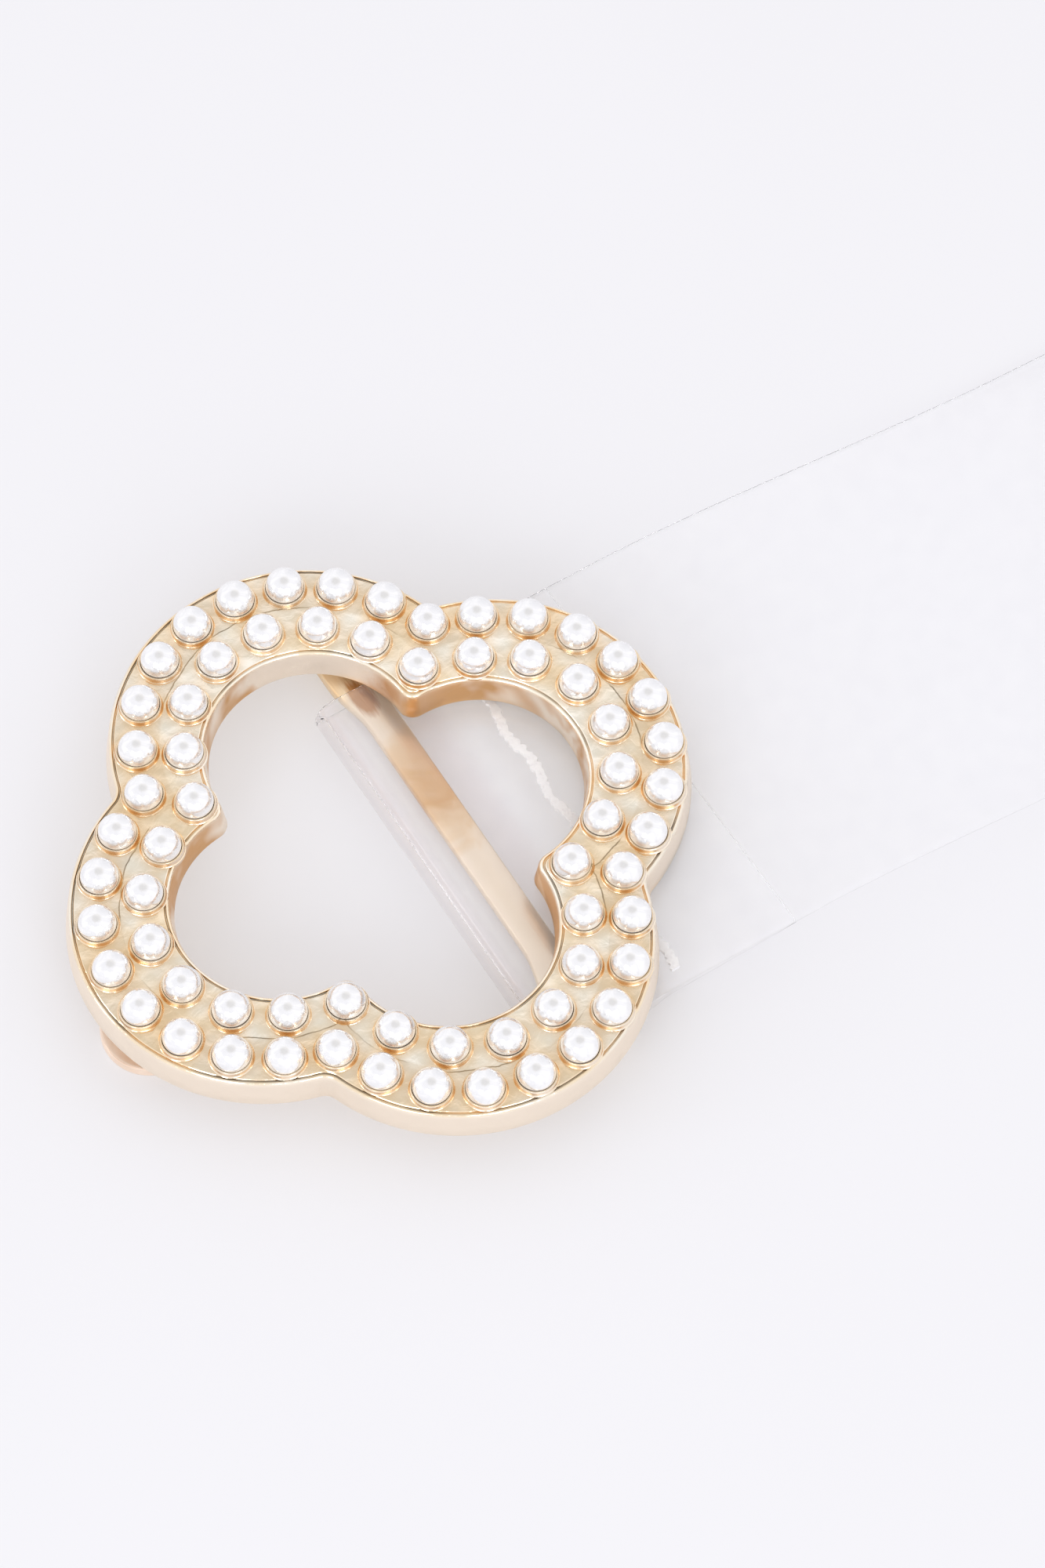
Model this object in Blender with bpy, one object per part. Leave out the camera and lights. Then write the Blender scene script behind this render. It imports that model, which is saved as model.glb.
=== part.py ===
"""Pearl-set quatrefoil strap buckle with a folded clear vinyl strap.

Metres, +Z up.  The buckle lies face up on the plane z = 0.  The world origin is the middle of the
hook stud's flat face.  +X runs from the stud through the ring's middle and along the strap, +Y along
the centre bar.
"""
import math

import bmesh
import bpy
from mathutils import Matrix, Vector

MM = 0.001

# Heights above the plane the buckle lies on
STRAP_THICK = 1.0 * MM
RUNNING_GAP = 0.3 * MM
BAR_THICK = 1.2 * MM
BAR_BOTTOM = STRAP_THICK + RUNNING_GAP
BAR_TOP = BAR_BOTTOM + BAR_THICK
UPPER_LAYER_BOTTOM = BAR_TOP + RUNNING_GAP
UPPER_LAYER_TOP = UPPER_LAYER_BOTTOM + STRAP_THICK
RING_BOTTOM = UPPER_LAYER_TOP + RUNNING_GAP
RING_THICK = 3.0 * MM
RING_TOP = RING_BOTTOM + RING_THICK

# Ring: four lobes, each an arc about a centre set out from the ring's middle
LOBES = 4
OUTER_LOBE_OFFSET = 11.4 * MM
OUTER_LOBE_RADIUS = 16.0 * MM
OUTER_NOTCH_RADIUS = 2.0 * MM
INNER_LOBE_OFFSET = 10.0 * MM
INNER_LOBE_RADIUS = 9.55 * MM
INNER_CUSP_RADIUS = 1.0 * MM
WALL_FLARE = 0.7 * MM
SHOULDER_WIDTH = 0.42 * MM
SHOULDER_DROP = 0.6 * MM
RING_SHIFT_X = -0.3 * MM
LOBE_STEPS = 12
CORNER_STEPS = 3

# Pearls in two rows about each lobe's centre, with one more at each notch and each cusp
PEARL_RADIUS = 1.55 * MM
PEARL_LIFT = 0.6 * MM
PEARL_Z = RING_TOP + PEARL_LIFT
ROW_LOBE_OFFSET = 11.4 * MM
OUTER_ROW_RADIUS = 14.25 * MM
OUTER_ROW_PER_LOBE = 8
OUTER_ROW_PITCH = math.radians(17.6)
NOTCH_PEARL_OFFSET = 20.3 * MM
INNER_ROW_RADIUS = 10.35 * MM
INNER_ROW_PER_LOBE = 6
INNER_ROW_PITCH = math.radians(26.1)
CUSP_PEARL_OFFSET = 15.95 * MM
CUP_RADIUS = 1.85 * MM
CUP_HEIGHT = 0.45 * MM
CUP_ROOT = 0.4 * MM
SOCKET_RADIUS = 1.65 * MM
SOCKET_DEPTH = 1.1 * MM
CUP_SIDES = 12
PEARL_SIDES = 12
PEARL_BANDS = 6
THREAD_RADIUS = 0.2 * MM
THREAD_LIFT = 0.3 * MM
THREAD_INSET = 0.4 * MM
THREAD_SIDES = 6

# Centre bar: a flat strip bent like a staple, turned a little about Z
BAR_TURN = math.radians(-3.0)
BAR_X = 6.9 * MM
BAR_WIDTH = 2.7 * MM
BAR_TAB_WIDTH = 5.0 * MM
BAR_TAB_START = 12.5 * MM
BAR_TAB_FULL = 17.5 * MM
BAR_SHIFT = -1.2 * MM
BAR_HALF_SPAN = 23.6 * MM
BAR_LEG = 1.2 * MM
BRAZE_GAP = 0.1 * MM
BAR_BEND = 0.5 * MM

# Hook stud behind the lobe opposite the bar
STUD_X = -24.2 * MM
STUD_Y = -1.1 * MM
STUD_HEAD_RADIUS = 4.2 * MM
STUD_HEAD_THICK = 1.4 * MM
STUD_NECK_RADIUS = 1.6 * MM
STUD_BASE_RADIUS = 2.8 * MM
STUD_BASE_THICK = 0.5 * MM
STUD_GROOVE = 0.15 * MM
STUD_GROOVE_HALF = 0.12 * MM
STUD_GROOVES_AT = (0.38, 0.68)
STUD_CHAMFER = 0.25 * MM
STUD_SIDES = 28

# Strap: one band folded round the bar and welded to itself
STRAP_WIDTH = 38.0 * MM
FOLD_SKEW = math.radians(-0.5)
BAND_TURN = math.radians(-2.0)
STRAP_SHIFT = -4.1 * MM
FOLD_TIP_X = 2.0 * MM
TAIL_END_X = 25.9 * MM
TAIL_END_SLOPE = -0.023
TAIL_GAP = 0.25 * MM
TAIL_RISE_START_X = 9.6 * MM
TAIL_RISE_END_X = 14.4 * MM
WELD_X = 15.2 * MM
WELD_WIDTH = 1.0 * MM
WELD_INSET = 1.5 * MM
WELD_BITE = 0.1 * MM
RISE_STEPS = 8
FOLD_STEPS = 16
FLEX_X = 29.6 * MM
BAND_LENGTH = 50.0 * MM
BAND_FALL_START = 1.5 * MM
BAND_FALL_LENGTH = 40.0 * MM
BAND_FALL_STEPS = 16
NOSE_STEPS = 6


def clear_scene():
    for old in list(bpy.data.objects):
        bpy.data.objects.remove(old, do_unlink=True)


def finish_material(name, color, metallic, roughness, transmission=0.0):
    material = bpy.data.materials.new(name)
    material.use_nodes = True
    shader = material.node_tree.nodes["Principled BSDF"]
    shader.inputs["Base Color"].default_value = (*color, 1.0)
    shader.inputs["Metallic"].default_value = metallic
    shader.inputs["Roughness"].default_value = roughness
    shader.inputs["Transmission Weight"].default_value = transmission
    return material


def add_object(name, mesh, material, parent, smooth=True):
    thing = bpy.data.objects.new(name, mesh)
    bpy.context.collection.objects.link(thing)
    thing.parent = parent
    mesh.materials.append(material)
    if smooth:
        mesh.shade_smooth()
        mesh.set_sharp_from_angle(angle=math.radians(35))
    return thing


def mesh_from(bm, name):
    bmesh.ops.recalc_face_normals(bm, faces=bm.faces)
    mesh = bpy.data.meshes.new(name)
    bm.to_mesh(mesh)
    bm.free()
    return mesh


def add_cutter(name, mesh, parent):
    cutter = bpy.data.objects.new(name, mesh)
    bpy.context.collection.objects.link(cutter)
    cutter.parent = parent
    cutter.hide_render = True
    cutter.display_type = 'WIRE'
    return cutter


def add_boolean(thing, operation, cutter):
    boolean = thing.modifiers.new(cutter.name, 'BOOLEAN')
    boolean.operation = operation
    boolean.solver = 'EXACT'
    boolean.object = cutter


def lobed_outline(offset, radius, corner):
    """Points of a four-lobed outline whose lobes meet in corners rounded to a radius."""
    half = offset / math.sqrt(2.0)
    corner_distance = half + math.sqrt((radius + corner) ** 2 - half ** 2)
    corner_x = corner_distance / math.sqrt(2.0)
    lobe_half_angle = math.atan2(corner_x, corner_x - offset)
    corner_half_angle = lobe_half_angle - math.radians(45)
    points = []
    for lobe in range(LOBES):
        turn = Matrix.Rotation(lobe * math.tau / LOBES, 2)
        for step in range(LOBE_STEPS + 1):
            angle = lobe_half_angle * (2.0 * step / LOBE_STEPS - 1.0)
            point = Vector((offset + radius * math.cos(angle), radius * math.sin(angle)))
            points.append(turn @ point)
        for step in range(1, CORNER_STEPS + 1):
            share = 2.0 * step / (CORNER_STEPS + 1) - 1.0
            angle = math.radians(225) - share * corner_half_angle
            point = Vector((corner_x + corner * math.cos(angle), corner_x + corner * math.sin(angle)))
            points.append(turn @ point)
    return points


def build_ring_mesh():
    """The ring from loops of points, base to top and back, with a shoulder between each wall and the top."""
    heights = (RING_BOTTOM, RING_TOP - SHOULDER_DROP, RING_TOP - SHOULDER_DROP / 4.0, RING_TOP)
    growths = (WALL_FLARE, SHOULDER_WIDTH, SHOULDER_WIDTH / 2.0, 0.0)
    bm = bmesh.new()
    loops = []
    for height, growth in zip(heights, growths):
        outer = lobed_outline(OUTER_LOBE_OFFSET, OUTER_LOBE_RADIUS + growth, OUTER_NOTCH_RADIUS - growth)
        loops.append([bm.verts.new((p.x + RING_SHIFT_X, p.y, height)) for p in outer])
    for height, growth in reversed(list(zip(heights, growths))):
        inner = lobed_outline(INNER_LOBE_OFFSET, INNER_LOBE_RADIUS - growth, INNER_CUSP_RADIUS + growth / 2.0)
        loops.append([bm.verts.new((p.x + RING_SHIFT_X, p.y, height)) for p in inner])
    count = len(loops[0])
    for loop, after in zip(loops, loops[1:] + loops[:1]):
        for i in range(count):
            j = (i + 1) % count
            bm.faces.new((loop[i], loop[j], after[j], after[i]))
    return mesh_from(bm, "ring")


def row_places(offset, row_radius, per_lobe, pitch, corner_offset):
    """Plan places of one row of pearls, lobe by lobe, each lobe followed by its corner pearl."""
    lobes = []
    for lobe in range(LOBES):
        turn = Matrix.Rotation(lobe * math.tau / LOBES, 2)
        places = []
        for i in range(per_lobe):
            angle = (i - (per_lobe - 1) / 2.0) * pitch
            places.append(turn @ Vector((offset + row_radius * math.cos(angle), row_radius * math.sin(angle))))
        places.append(turn @ (Vector((1.0, 1.0)).normalized() * corner_offset))
        lobes.append(places)
    return lobes


def add_drum(bm, place, radius, bottom, top, sides):
    drum = bmesh.ops.create_cone(bm, cap_ends=True, segments=sides, radius1=radius, radius2=radius,
                                 depth=top - bottom)
    bmesh.ops.translate(bm, verts=drum["verts"], vec=(place.x, place.y, (top + bottom) / 2.0))


def build_drums(name, places, radius, bottom, top):
    bm = bmesh.new()
    for place in places:
        add_drum(bm, place, radius, bottom, top, CUP_SIDES)
    return mesh_from(bm, name)


def build_pearls(name, places):
    """Pearls with their centres on the plane z = 0."""
    bm = bmesh.new()
    for place in places:
        ball = bmesh.ops.create_uvsphere(bm, u_segments=PEARL_SIDES, v_segments=PEARL_BANDS, radius=PEARL_RADIUS)
        bmesh.ops.translate(bm, verts=ball["verts"], vec=(place.x, place.y, 0.0))
    return mesh_from(bm, name)


def build_thread(places):
    """Short rods between neighbouring pearls of a string, ending inside the pearls."""
    bm = bmesh.new()
    for start, end in zip(places, places[1:]):
        along = end - start
        rod = bmesh.ops.create_cone(bm, cap_ends=True, segments=THREAD_SIDES, radius1=THREAD_RADIUS,
                                    radius2=THREAD_RADIUS, depth=along.length - 2.0 * THREAD_INSET)
        tilt = Matrix.Rotation(math.radians(90), 4, 'Y')
        turn = Matrix.Rotation(math.atan2(along.y, along.x), 4, 'Z')
        middle = (start + end) / 2.0
        place = Matrix.Translation((middle.x, middle.y, PEARL_Z + THREAD_LIFT))
        bmesh.ops.transform(bm, matrix=place @ turn @ tilt, verts=rod["verts"])
    return mesh_from(bm, "pearl_thread")


def build_bar_mesh():
    """A staple seen from the side, as a closed outline, drawn across the bar's width."""
    span = BAR_HALF_SPAN
    leg_top = RING_BOTTOM - BRAZE_GAP
    side = [
        (-span, leg_top), (-span, BAR_BOTTOM + BAR_BEND), (-span + BAR_BEND, BAR_BOTTOM),
        (-BAR_TAB_FULL, BAR_BOTTOM), (-BAR_TAB_START, BAR_BOTTOM),
        (BAR_TAB_START, BAR_BOTTOM), (BAR_TAB_FULL, BAR_BOTTOM),
        (span - BAR_BEND, BAR_BOTTOM), (span, BAR_BOTTOM + BAR_BEND), (span, leg_top),
        (span - BAR_LEG, leg_top), (span - BAR_LEG, BAR_TOP),
        (BAR_TAB_FULL, BAR_TOP), (BAR_TAB_START, BAR_TOP),
        (-BAR_TAB_START, BAR_TOP), (-BAR_TAB_FULL, BAR_TOP),
        (-span + BAR_LEG, BAR_TOP), (-span + BAR_LEG, leg_top),
    ]
    bm = bmesh.new()
    left = []
    right = []
    for y, z in side:
        half = BAR_WIDTH / 2.0 if abs(y) <= BAR_TAB_START else BAR_TAB_WIDTH / 2.0
        left.append(bm.verts.new((-half, y, z)))
        right.append(bm.verts.new((half, y, z)))
    count = len(side)
    for i in range(count):
        j = (i + 1) % count
        bm.faces.new((left[i], left[j], right[j], right[i]))
    strips = ((0, 1, 2, 16, 17), (2, 3, 15, 16), (3, 4, 14, 15), (4, 5, 13, 14), (5, 6, 12, 13),
              (6, 7, 11, 12), (7, 8, 9, 10, 11))
    for strip in strips:
        bm.faces.new([left[i] for i in strip])
        bm.faces.new([right[i] for i in strip])
    return mesh_from(bm, "centre_bar")


def build_turned_mesh(name, profile, sides):
    """A solid turned about Z from its profile of (radius, height), closed on the axis at both ends."""
    bm = bmesh.new()
    rings = []
    for radius, height in profile:
        ring = []
        for i in range(sides):
            angle = math.tau * i / sides
            ring.append(bm.verts.new((radius * math.cos(angle), radius * math.sin(angle), height)))
        rings.append(ring)
    for ring, after in zip(rings, rings[1:]):
        for i in range(sides):
            j = (i + 1) % sides
            bm.faces.new((ring[i], ring[j], after[j], after[i]))
    bm.faces.new(rings[0])
    bm.faces.new(rings[-1])
    return mesh_from(bm, name)


def stud_profile():
    rim = STUD_HEAD_RADIUS
    base_top = RING_BOTTOM - BRAZE_GAP
    profile = [(rim - STUD_CHAMFER, 0.0), (rim, STUD_CHAMFER)]
    for share in STUD_GROOVES_AT:
        middle = STUD_HEAD_THICK * share
        profile.append((rim, middle - STUD_GROOVE_HALF))
        profile.append((rim - STUD_GROOVE, middle))
        profile.append((rim, middle + STUD_GROOVE_HALF))
    profile.append((rim - STUD_CHAMFER, STUD_HEAD_THICK))
    profile.append((STUD_NECK_RADIUS, STUD_HEAD_THICK))
    profile.append((STUD_NECK_RADIUS, base_top - STUD_BASE_THICK))
    profile.append((STUD_BASE_RADIUS, base_top - STUD_BASE_THICK))
    profile.append((STUD_BASE_RADIUS, base_top))
    return profile


def ease(share):
    return share * share * (3.0 - 2.0 * share)


def strap_path():
    """Centre line of the folded band in the plane square to the bar: (x, z, tangent x, tangent z)."""
    low = STRAP_THICK / 2.0
    high = UPPER_LAYER_BOTTOM + STRAP_THICK / 2.0
    tail_high = high - STRAP_THICK - TAIL_GAP
    fold_radius = (high - low) / 2.0
    fold_x = FOLD_TIP_X + STRAP_THICK / 2.0 + fold_radius
    line = [(TAIL_END_X, tail_high)]
    for i in range(RISE_STEPS + 1):
        share = i / RISE_STEPS
        x = TAIL_RISE_END_X + (TAIL_RISE_START_X - TAIL_RISE_END_X) * share
        line.append((x, tail_high + (low - tail_high) * ease(share)))
    for i in range(FOLD_STEPS + 1):
        angle = math.radians(-90 - 180 * i / FOLD_STEPS)
        line.append((fold_x + fold_radius * math.cos(angle), low + fold_radius * (1.0 + math.sin(angle))))
    line.append((FLEX_X, high))
    path = []
    for i, (x, z) in enumerate(line):
        before = line[max(i - 1, 0)]
        after = line[min(i + 1, len(line) - 1)]
        step = Vector((after[0] - before[0], after[1] - before[1])).normalized()
        path.append((x, z, step.x, step.y))
    return path


def build_fold_mesh():
    """The folded band, square to the bar in section and skewed a little along it."""
    path = strap_path()
    run = 0.0
    runs = []
    for here, after in zip(path, path[1:] + path[-1:]):
        runs.append(run)
        run += math.hypot(after[0] - here[0], after[1] - here[1])
    tip = min(range(len(path)), key=lambda i: path[i][0])
    bm = bmesh.new()
    rows = []
    half_width = STRAP_WIDTH / 2.0 / math.cos(FOLD_SKEW)
    half_thick = STRAP_THICK / 2.0
    for i, (x, z, tx, tz) in enumerate(path):
        row = []
        for edge, side in ((-1, -1), (1, -1), (1, 1), (-1, 1)):
            along = runs[i] - runs[tip]
            y = STRAP_SHIFT + along * math.tan(FOLD_SKEW) + edge * half_width
            shift = 0.0
            if i == 0:
                shift = edge * half_width * TAIL_END_SLOPE
            if i == len(path) - 1:
                shift = -edge * half_width * math.sin(BAND_TURN)
            place = Vector((x + shift - side * tz * half_thick, y, z + side * tx * half_thick))
            row.append(bm.verts.new(place))
        rows.append(row)
    for row, after in zip(rows, rows[1:]):
        for i in range(4):
            j = (i + 1) % 4
            bm.faces.new((row[i], row[j], after[j], after[i]))
    bm.faces.new(rows[0])
    bm.faces.new(rows[-1])
    return mesh_from(bm, "strap_fold")


def build_weld_mesh():
    """Fused strip that joins the two layers, reaching a little into each."""
    low = UPPER_LAYER_BOTTOM - TAIL_GAP - WELD_BITE
    high = UPPER_LAYER_BOTTOM + WELD_BITE
    bm = bmesh.new()
    box = bmesh.ops.create_cube(bm, size=1.0)
    size = Matrix.Diagonal((WELD_WIDTH, STRAP_WIDTH - 2.0 * WELD_INSET, high - low, 1.0))
    place = Matrix.Translation((WELD_X, STRAP_SHIFT, (high + low) / 2.0))
    bmesh.ops.transform(bm, matrix=place @ size, verts=box["verts"])
    return mesh_from(bm, "weld")


def build_band_mesh():
    """The free band, from the flex line at x = 0, lying down towards the plane z = 0."""
    high = UPPER_LAYER_BOTTOM + STRAP_THICK / 2.0
    drop = UPPER_LAYER_BOTTOM
    half_thick = STRAP_THICK / 2.0
    outline = []
    for i in range(NOSE_STEPS + 1):
        angle = math.radians(90 + 180 * i / NOSE_STEPS)
        outline.append((half_thick * math.cos(angle), half_thick * math.sin(angle)))
    bm = bmesh.new()
    rows = []
    stations = [0.0, BAND_FALL_START]
    for i in range(1, BAND_FALL_STEPS + 1):
        stations.append(BAND_FALL_START + BAND_FALL_LENGTH * i / BAND_FALL_STEPS)
    stations.append(BAND_LENGTH)

    def fall(x):
        share = min(max((x - BAND_FALL_START) / BAND_FALL_LENGTH, 0.0), 1.0)
        return -drop * ease(share)

    upper = [(x, fall(x) + half_thick) for x in stations]
    lower = [(x, fall(x) - half_thick) for x in stations]
    section = outline[1:-1] + lower + upper[::-1]
    for edge in (-1, 1):
        rows.append([bm.verts.new((x, edge * STRAP_WIDTH / 2.0, z)) for x, z in section])
    count = len(section)
    for i in range(count):
        j = (i + 1) % count
        bm.faces.new((rows[0][i], rows[0][j], rows[1][j], rows[1][i]))
    nose = len(outline) - 2
    low_first = nose
    high_last = count - 1
    for row in rows:
        bm.faces.new(row[:nose] + [row[low_first], row[high_last]])
        for i in range(len(stations) - 1):
            bm.faces.new((row[low_first + i], row[low_first + i + 1], row[high_last - i - 1], row[high_last - i]))
    return mesh_from(bm, "strap_band"), high


def add_empty(name, parent, place, turn=0.0):
    empty = bpy.data.objects.new(name, None)
    bpy.context.collection.objects.link(empty)
    empty.parent = parent
    empty.location = place
    empty.rotation_euler = (0.0, 0.0, turn)
    return empty


def main():
    clear_scene()
    gold = finish_material("pale_gold", (0.86, 0.70, 0.46), 1.0, 0.2)
    bar_gold = finish_material("brushed_gold", (0.80, 0.62, 0.38), 1.0, 0.4)
    pearl_white = finish_material("pearl_white", (0.93, 0.92, 0.90), 0.0, 0.15)
    clear_vinyl = finish_material("clear_vinyl", (0.95, 0.95, 0.98), 0.0, 0.08, transmission=0.95)

    ring_middle = add_empty("ring_middle", None, (-STUD_X, -STUD_Y, 0.0))

    ring = add_object("buckle_ring", build_ring_mesh(), gold, ring_middle)
    outer_rows = row_places(ROW_LOBE_OFFSET, OUTER_ROW_RADIUS, OUTER_ROW_PER_LOBE, OUTER_ROW_PITCH,
                            NOTCH_PEARL_OFFSET)
    inner_rows = row_places(ROW_LOBE_OFFSET, INNER_ROW_RADIUS, INNER_ROW_PER_LOBE, INNER_ROW_PITCH,
                            CUSP_PEARL_OFFSET)
    every_place = [place for row in outer_rows + inner_rows for place in row]
    cups = build_drums("cups", every_place, CUP_RADIUS, RING_TOP - CUP_ROOT, RING_TOP + CUP_HEIGHT)
    add_boolean(ring, 'UNION', add_cutter("cups", cups, ring_middle))
    sockets = build_drums("sockets", every_place, SOCKET_RADIUS, RING_TOP - SOCKET_DEPTH,
                          RING_TOP + 2.0 * CUP_HEIGHT)
    add_boolean(ring, 'DIFFERENCE', add_cutter("sockets", sockets, ring_middle))

    number = 0
    for row in outer_rows:
        for place in row:
            number += 1
            pearl_mesh = build_pearls("pearl", [Vector((0.0, 0.0))])
            pearl = add_object(f"pearl_outer_{number:02d}", pearl_mesh, pearl_white, ring_middle)
            pearl.location = (place.x, place.y, PEARL_Z)
    for lobe, row in enumerate(inner_rows, start=1):
        string_mesh = build_pearls("pearl_string", row)
        string = add_object(f"pearl_inner_row_{lobe}", string_mesh, pearl_white, ring_middle)
        string.location = (0.0, 0.0, PEARL_Z)
        thread = add_cutter(f"thread_{lobe}", build_thread(row), ring_middle)
        add_boolean(string, 'UNION', thread)

    bar_frame = add_empty("bar_frame", ring_middle, (BAR_X, BAR_SHIFT, 0.0), BAR_TURN)
    add_object("centre_bar", build_bar_mesh(), bar_gold, bar_frame, smooth=False)

    stud_mesh = build_turned_mesh("hook_stud", stud_profile(), STUD_SIDES)
    stud = add_object("hook_stud", stud_mesh, gold, ring_middle)
    stud.location = (STUD_X, STUD_Y, 0.0)

    strap_frame = add_empty("strap_frame", ring_middle, (0.0, 0.0, 0.0), BAR_TURN)
    fold = add_object("strap_fold", build_fold_mesh(), clear_vinyl, strap_frame)
    add_boolean(fold, 'UNION', add_cutter("weld", build_weld_mesh(), strap_frame))

    run = FLEX_X - FOLD_TIP_X
    band_mesh, band_height = build_band_mesh()
    flex_y = STRAP_SHIFT + run * math.tan(FOLD_SKEW)
    flex_gap = RUNNING_GAP + STRAP_THICK / 2.0
    flex_line = add_empty("flex_line", strap_frame, (FLEX_X + flex_gap, flex_y, band_height), BAND_TURN)
    add_object("strap_band", band_mesh, clear_vinyl, flex_line)


main()
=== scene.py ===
"""A pearl-set quatrefoil buckle on its clear vinyl strap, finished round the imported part.

Metres, in the part's own frame: +X along the strap, +Y along the centre bar, +Z up, table at z = 0.
"""
import math
import random

import bmesh
import bpy
from mathutils import Matrix, Vector


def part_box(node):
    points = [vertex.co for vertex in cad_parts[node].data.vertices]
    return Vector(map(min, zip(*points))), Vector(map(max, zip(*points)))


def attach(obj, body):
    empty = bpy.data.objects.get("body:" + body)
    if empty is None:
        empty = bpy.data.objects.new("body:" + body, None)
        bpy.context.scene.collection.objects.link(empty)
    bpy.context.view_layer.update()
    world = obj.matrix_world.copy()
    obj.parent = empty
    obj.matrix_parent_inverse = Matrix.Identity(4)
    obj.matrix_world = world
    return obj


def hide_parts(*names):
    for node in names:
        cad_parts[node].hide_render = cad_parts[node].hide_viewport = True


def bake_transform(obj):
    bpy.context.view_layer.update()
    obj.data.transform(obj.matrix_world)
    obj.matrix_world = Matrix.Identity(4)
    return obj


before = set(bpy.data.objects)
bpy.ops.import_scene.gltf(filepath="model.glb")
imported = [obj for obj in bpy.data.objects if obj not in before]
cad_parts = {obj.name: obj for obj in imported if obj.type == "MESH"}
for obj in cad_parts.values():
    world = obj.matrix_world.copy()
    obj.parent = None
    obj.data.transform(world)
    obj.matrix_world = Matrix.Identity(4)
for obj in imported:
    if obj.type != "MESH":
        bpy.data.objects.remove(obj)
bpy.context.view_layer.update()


# ---- Table, camera and lamps --------------------------------------------------------------------
# A white acrylic light table glows faintly under the buckle, seen from above its near side.  Two
# square lamps stand either side of the camera and a smaller one lies low at its left, to catch the
# strap's fold.  White walls close the little studio in.
MM = 0.001
TABLE_DEPTH = 0.02 * MM
TABLE_SIZE = 3.0
TABLE_WHITE = (0.52, 0.54, 0.59)
TABLE_DULLING = 0.985
TABLE_GLOW = (0.330, 0.304, 0.274)


def make_mesh_object(name, bm, material, smooth_angle=None):
    """A mesh object from a bmesh, outward facing, with one material."""
    bmesh.ops.recalc_face_normals(bm, faces=bm.faces)
    mesh = bpy.data.meshes.new(name)
    bm.to_mesh(mesh)
    bm.free()
    mesh.materials.append(material)
    if smooth_angle is not None:
        mesh.shade_smooth()
        mesh.set_sharp_from_angle(angle=math.radians(smooth_angle))
    thing = bpy.data.objects.new(name, mesh)
    bpy.context.scene.collection.objects.link(thing)
    return thing


def new_material(name, metallic, roughness):
    """A material with its Principled shader ready; returns its nodes, links and shader as well."""
    material = bpy.data.materials.new(name)
    material.use_nodes = True
    nodes, links = material.node_tree.nodes, material.node_tree.links
    shader = nodes["Principled BSDF"]
    shader.inputs["Metallic"].default_value = metallic
    shader.inputs["Roughness"].default_value = roughness
    return material, nodes, links, shader


def feed(links, source, socket):
    """Links a node's output to a socket, or sets the socket from a plain number, place or colour."""
    if isinstance(source, bpy.types.NodeSocket):
        links.new(source, socket)
    elif socket.type == 'RGBA':
        socket.default_value = (*source, 1.0)
    else:
        socket.default_value = source


def noise_node(nodes, links, vector, scale, detail, roughness=0.5, distortion=0.0):
    """A noise texture read at a position, its scale in waves per metre."""
    node = nodes.new("ShaderNodeTexNoise")
    sources = {"Vector": vector, "Scale": scale, "Detail": detail, "Roughness": roughness,
               "Distortion": distortion}
    for name, source in sources.items():
        feed(links, source, node.inputs[name])
    return node.outputs["Fac"]


def range_node(nodes, links, value, start, end, low=0.0, high=1.0):
    """Maps a value, held between start and end, onto low to high."""
    node = nodes.new("ShaderNodeMapRange")
    sources = {"Value": value, "From Min": start, "From Max": end, "To Min": low, "To Max": high}
    for name, source in sources.items():
        feed(links, source, node.inputs[name])
    return node.outputs["Result"]


def mix_node(nodes, links, share, first, second, blend_type='MIX'):
    """Mixes a share of the second colour over the first; a Mix node's colours are sockets 6 and 7."""
    node = nodes.new("ShaderNodeMix")
    node.data_type = 'RGBA'
    node.blend_type = blend_type
    feed(links, share, node.inputs["Factor"])
    feed(links, first, node.inputs[6])
    feed(links, second, node.inputs[7])
    return node.outputs[2]


def ramp_node(nodes, links, value, stops):
    """A colour ramp through (position, colour) stops."""
    ramp = nodes.new("ShaderNodeValToRGB")
    while len(ramp.color_ramp.elements) < len(stops):
        ramp.color_ramp.elements.new(0.5)
    for element, (position, colour) in zip(ramp.color_ramp.elements, stops):
        element.position = position
        element.color = (*colour, 1.0)
    links.new(value, ramp.inputs["Fac"])
    return ramp.outputs["Color"]


def new_group(name, takes, gives):
    """An empty node group with named sockets; returns it with its nodes, links and two ends."""
    group = bpy.data.node_groups.new(name, 'ShaderNodeTree')
    for in_out, sockets in (('INPUT', takes), ('OUTPUT', gives)):
        for socket, kind in sockets.items():
            group.interface.new_socket(socket, in_out=in_out, socket_type=f"NodeSocket{kind}")
    nodes = group.nodes
    return group, nodes, group.links, nodes.new("NodeGroupInput"), nodes.new("NodeGroupOutput")


def place_group(nodes, links, group, values):
    """Places a node group in a material with its own values; returns its outputs."""
    node = nodes.new("ShaderNodeGroup")
    node.node_tree = group
    for name, source in values.items():
        feed(links, source, node.inputs[name])
    return node.outputs


MOTTLE_DETAIL = 3.0


def mottle_group():
    """Node group: a colour that drifts between a dark and a light one, cloud by cloud.

    Start and End are the noise values at which the colour is all dark and all light.
    """
    takes = {"Where": 'Vector', "Scale": 'Float', "Roughness": 'Float', "Distortion": 'Float',
             "Start": 'Float', "End": 'Float', "Dark": 'Color', "Light": 'Color'}
    group, nodes, links, given, result = new_group("mottle", takes, {"Colour": 'Color'})
    value = given.outputs
    cloud = noise_node(nodes, links, value["Where"], value["Scale"], MOTTLE_DETAIL,
                       value["Roughness"], value["Distortion"])
    share = range_node(nodes, links, cloud, value["Start"], value["End"])
    colour = mix_node(nodes, links, share, value["Dark"], value["Light"])
    links.new(colour, result.inputs["Colour"])
    return group


mottle = mottle_group()


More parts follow.
